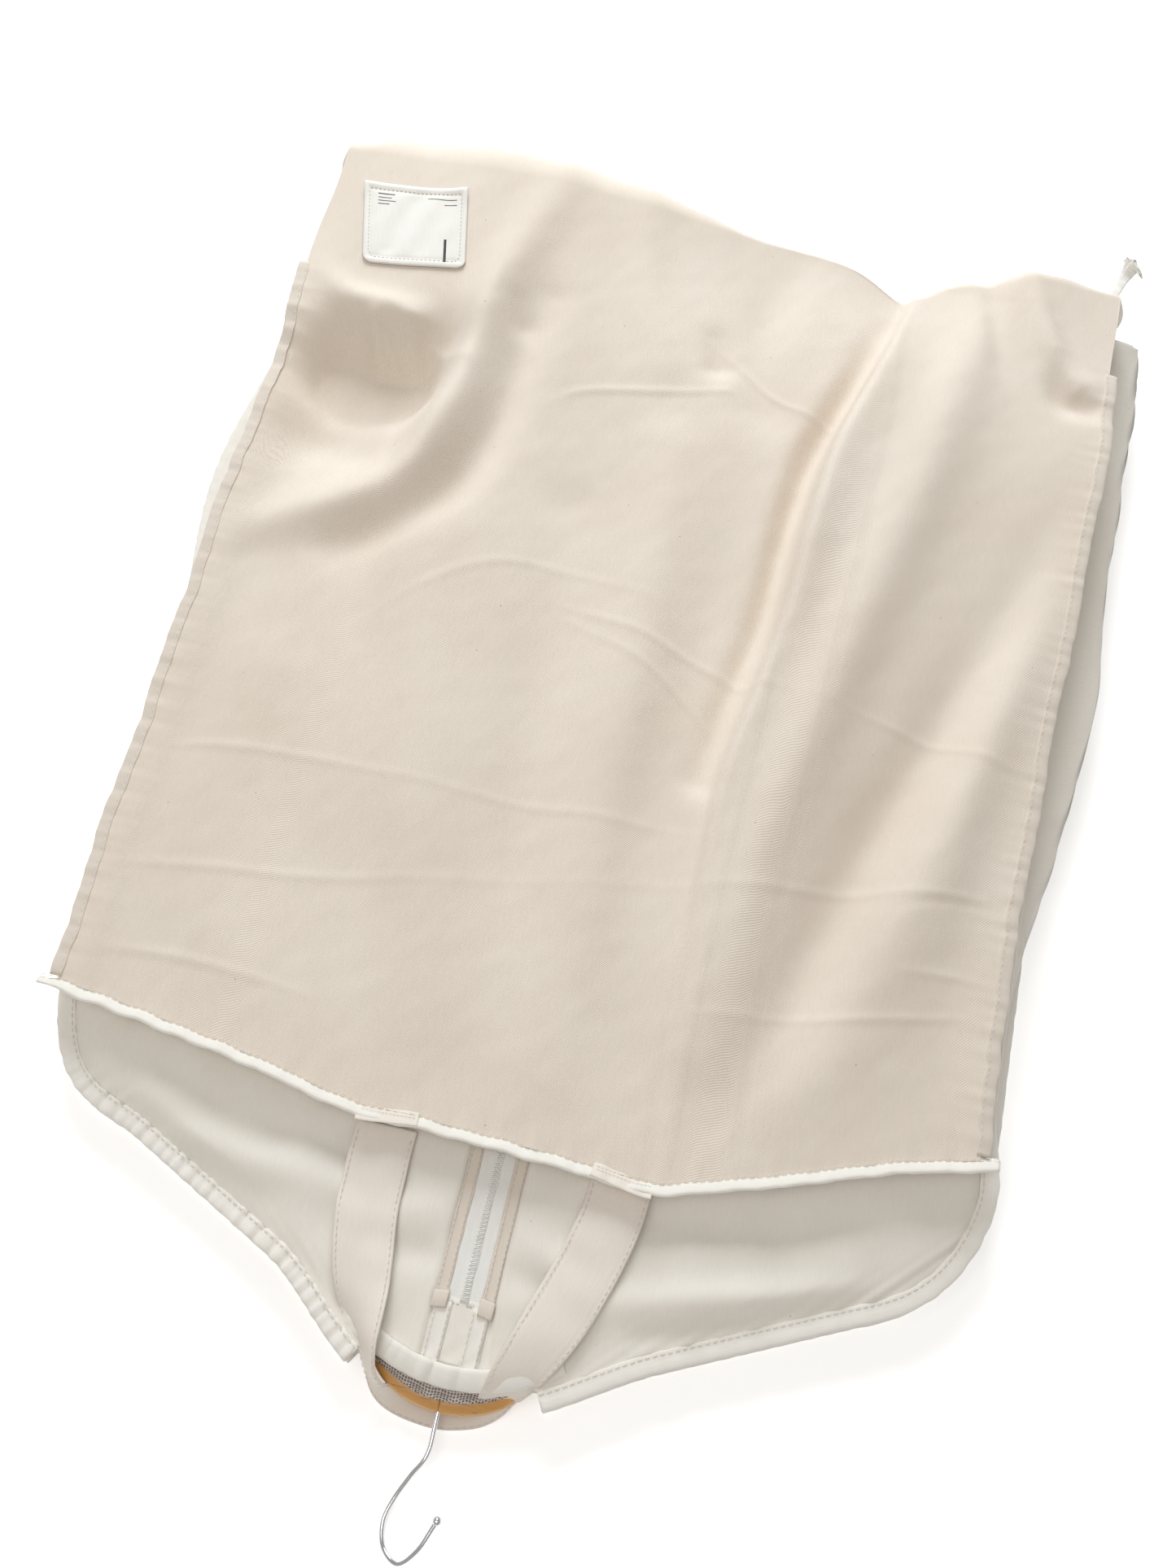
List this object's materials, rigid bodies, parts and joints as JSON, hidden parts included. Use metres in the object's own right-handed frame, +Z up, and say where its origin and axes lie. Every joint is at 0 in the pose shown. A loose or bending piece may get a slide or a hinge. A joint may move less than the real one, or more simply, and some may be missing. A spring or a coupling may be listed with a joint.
{
  "type": "folding garment bag",
  "caption": "Cotton garment bag on a wooden suit hanger, folded in half, with front and side zips, bound seams and a carrying handle looped behind the hook.",
  "frame": {"origin": "centre of the footprint, on the floor that the folded bag lies on", "axes": "-Y towards the hanger's hook, +Y towards the fold, +X across the bag, +Z up"},
  "size_m": [0.606, 0.9708, 0.0995],
  "materials": {
    "canvas": "undyed cotton twill, soft and matt, with small seed flecks",
    "lining": "the same undyed cotton, in the cooler shade of the front and the side walls",
    "binding": "off-white cotton bias binding with one stitch line",
    "mesh": "grey-beige warp-knit mesh with rows of small holes",
    "tape": "white woven tape",
    "coil": "white nylon coil",
    "label": "smooth white woven label, blank",
    "wood": "honey-coloured wood, clear lacquer",
    "chrome": "polished chrome-plated wire",
    "nickel": "nickel-plated metal"
  },
  "bodies": {
    "upper_half": {"back_panel": "canvas", "front_panel_left": "lining", "front_panel_right": "lining", "side_gusset_left": "lining", "side_gusset_right": "lining", "zip_top_tab": "lining", "front_binding_left": "binding", "front_binding_right": "binding", "back_binding_left": "binding", "back_binding_right": "binding", "zip_facing_left": "binding", "zip_facing_right": "binding", "shoulder_mesh_left": "mesh", "shoulder_mesh_right": "mesh", "neck_binding_front": "tape", "neck_binding_back": "tape", "zip_tape_upper_left": "tape", "zip_tape_upper_right": "tape", "side_zip_tape_lower": "tape", "side_zip_tape_upper": "tape", "zip_coil_upper": "coil", "hanger_left": "wood", "hanger_right": "wood", "hook_nut": "nickel", "side_zip_bottom_stop": "nickel"},
    "flap": {"flap_back_panel": "canvas", "flap_front_left": "lining", "flap_front_right": "lining", "flap_gusset_left": "lining", "flap_gusset_right": "lining", "flap_binding_left": "binding", "flap_binding_right": "binding", "flap_inner_binding_left": "binding", "flap_inner_binding_right": "binding", "hem_binding": "binding", "hem_gusset": "lining", "zip_coil_lower": "coil", "zip_tape_lower_left": "tape", "zip_tape_lower_right": "tape", "zip_facing_lower_left": "binding", "zip_facing_lower_right": "binding", "zip_end_tab": "lining", "label_patch": "label", "handle_anchor_left": "canvas", "handle_anchor_right": "canvas"},
    "fold_roll": {"fold_wrap": "canvas", "fold_gusset_left": "lining", "fold_gusset_right": "lining", "side_zip_tail_lower": "tape", "side_zip_tail_upper": "tape", "side_zip_stop_lower": "nickel", "side_zip_stop_upper": "nickel"},
    "hook": {"hook_wire": "chrome", "hook_ball": "chrome"},
    "front_slider": {"zip_slider": "nickel"},
    "front_pull": {"zip_pull": "nickel"},
    "side_slider": {"side_zip_slider": "nickel"},
    "side_pull": {"side_zip_pull": "nickel"},
    "handle": {"handle_strap": "canvas"}
  },
  "joints": [
    {"name": "flap_unfold", "type": "hinge", "parent": "upper_half", "child": "flap", "pos_m": [0, 0.43805, 0.05], "axis": [-1, 0, 0], "range_deg": [0, 184.9]},
    {"name": "roll_turn", "type": "hinge", "parent": "upper_half", "child": "fold_roll", "pos_m": [0, 0.43805, 0.05], "axis": [-1, 0, 0], "range_deg": [0, 92.45]},
    {"name": "hook_swivel", "type": "hinge", "parent": "upper_half", "child": "hook", "pos_m": [0, -0.40295, 0.011], "axis": [0, -1, 0], "continuous": true},
    {"name": "handle_lift", "type": "hinge", "parent": "flap", "child": "handle", "pos_m": [0, -0.26495, 0.02952], "axis": [-1, 0, 0], "range_deg": [0, 110]},
    {"name": "front_zip_slide", "type": "slide", "parent": "flap", "child": "front_slider", "axis": [0, 0.9995, 0.0302], "range_m": [0, 0.56]},
    {"name": "front_pull_swing", "type": "hinge", "parent": "front_slider", "child": "front_pull", "pos_m": [0, -0.20605, 0.03065], "axis": [1, 0, 0], "range_deg": [0, 3]},
    {"name": "side_zip_slide", "type": "slide", "parent": "upper_half", "child": "side_slider", "axis": [0, 1, 0], "range_m": [0, 0.33]},
    {"name": "side_pull_swing", "type": "hinge", "parent": "side_slider", "child": "side_pull", "pos_m": [0.2913, 0.04635, 0.01386], "axis": [0, -1, 0], "range_deg": [0, 140]}
  ],
  "couplings": [
    {"joint": "roll_turn", "follows": "flap_unfold", "ratio": 0.5}
  ]
}
